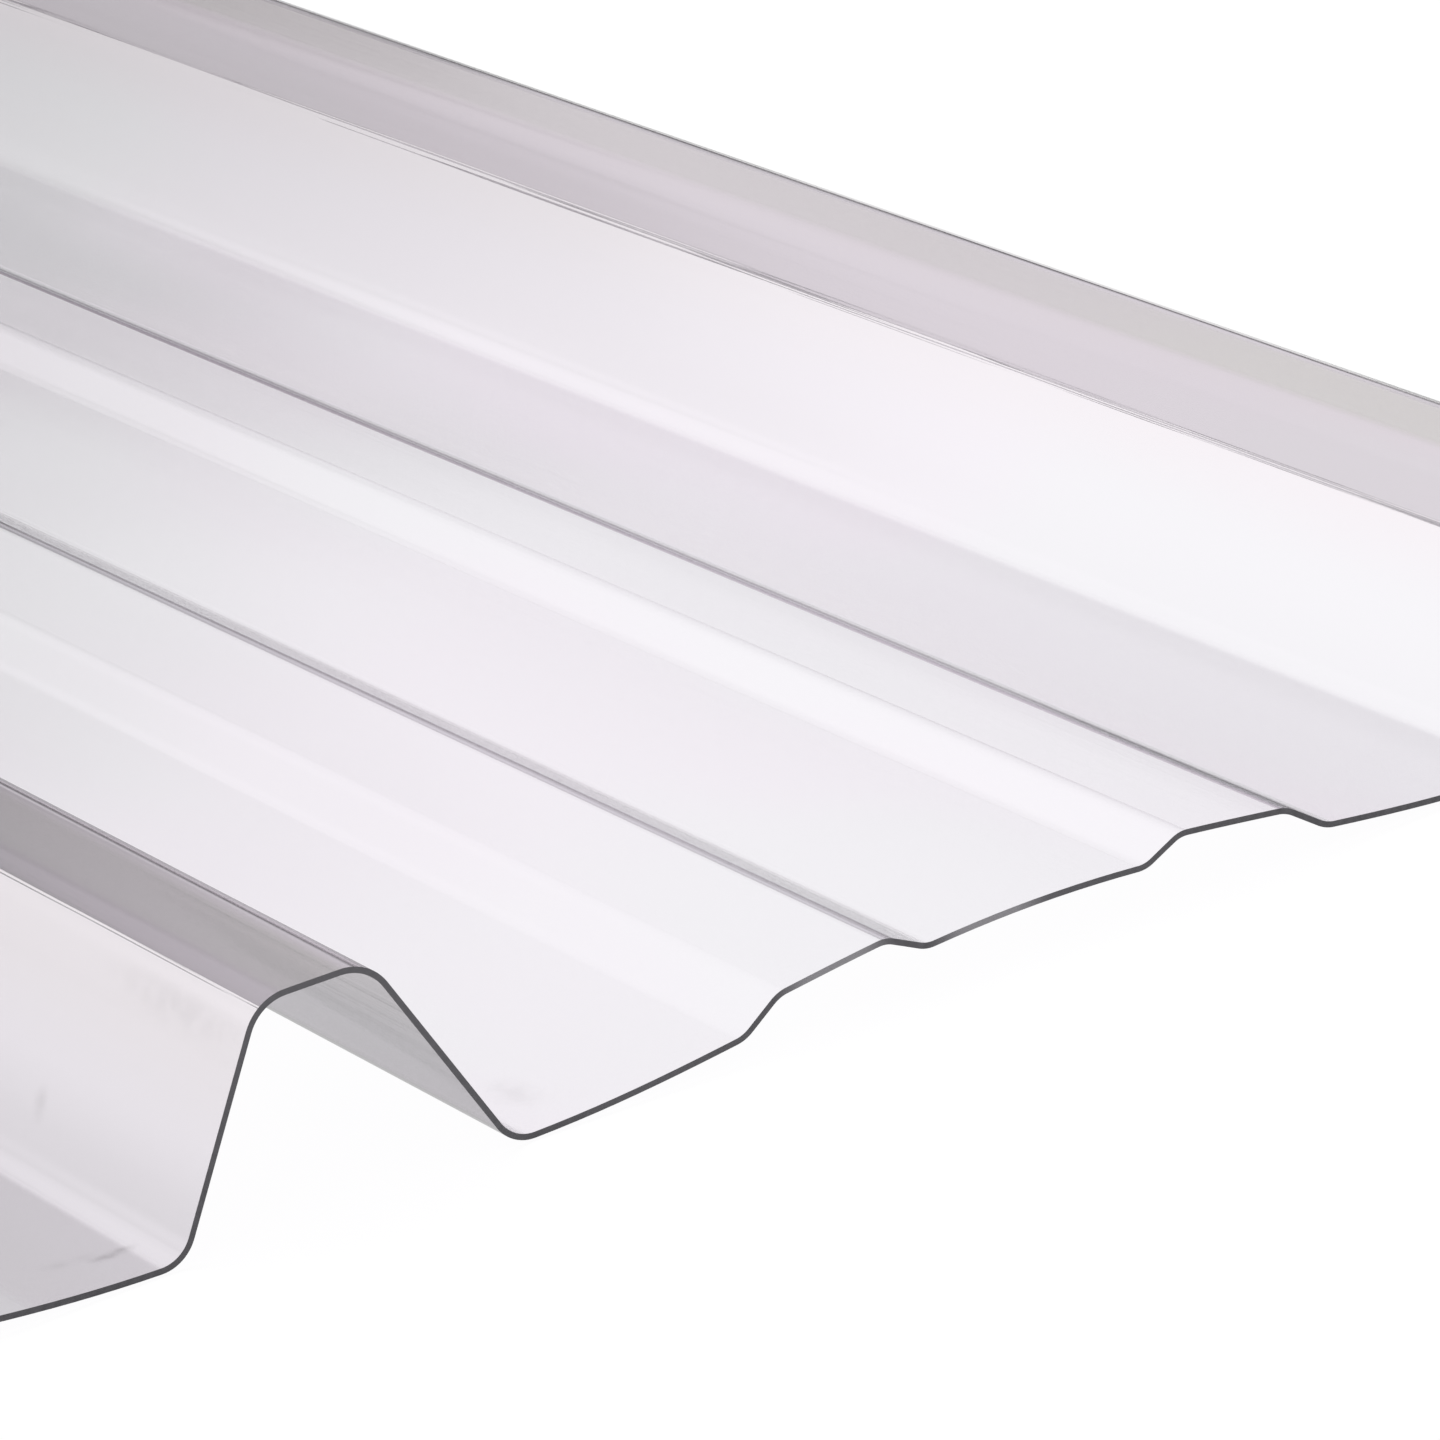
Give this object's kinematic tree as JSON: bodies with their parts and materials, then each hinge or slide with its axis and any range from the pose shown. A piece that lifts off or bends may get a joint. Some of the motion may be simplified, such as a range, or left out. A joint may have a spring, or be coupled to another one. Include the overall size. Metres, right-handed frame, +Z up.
{
  "type": "polycarbonate roof sheet",
  "caption": "Clear solid polycarbonate roof sheet with tall trapezoidal ribs and crowned pans, each with low minor ribs, cut square at both ends.",
  "frame": {"origin": "middle of the sheet in plan, on the floor that the rib feet stand on", "axes": "+Y along the ribs, +X across the sheet, +Z up from the feet to the crests"},
  "size_m": [0.8078, 2, 0.037],
  "materials": {
    "clear_polycarbonate": "clear, glossy on both faces, with cut ends that look dark grey"
  },
  "bodies": {
    "root": {"roof_sheet": "clear_polycarbonate"}
  },
  "joints": []
}
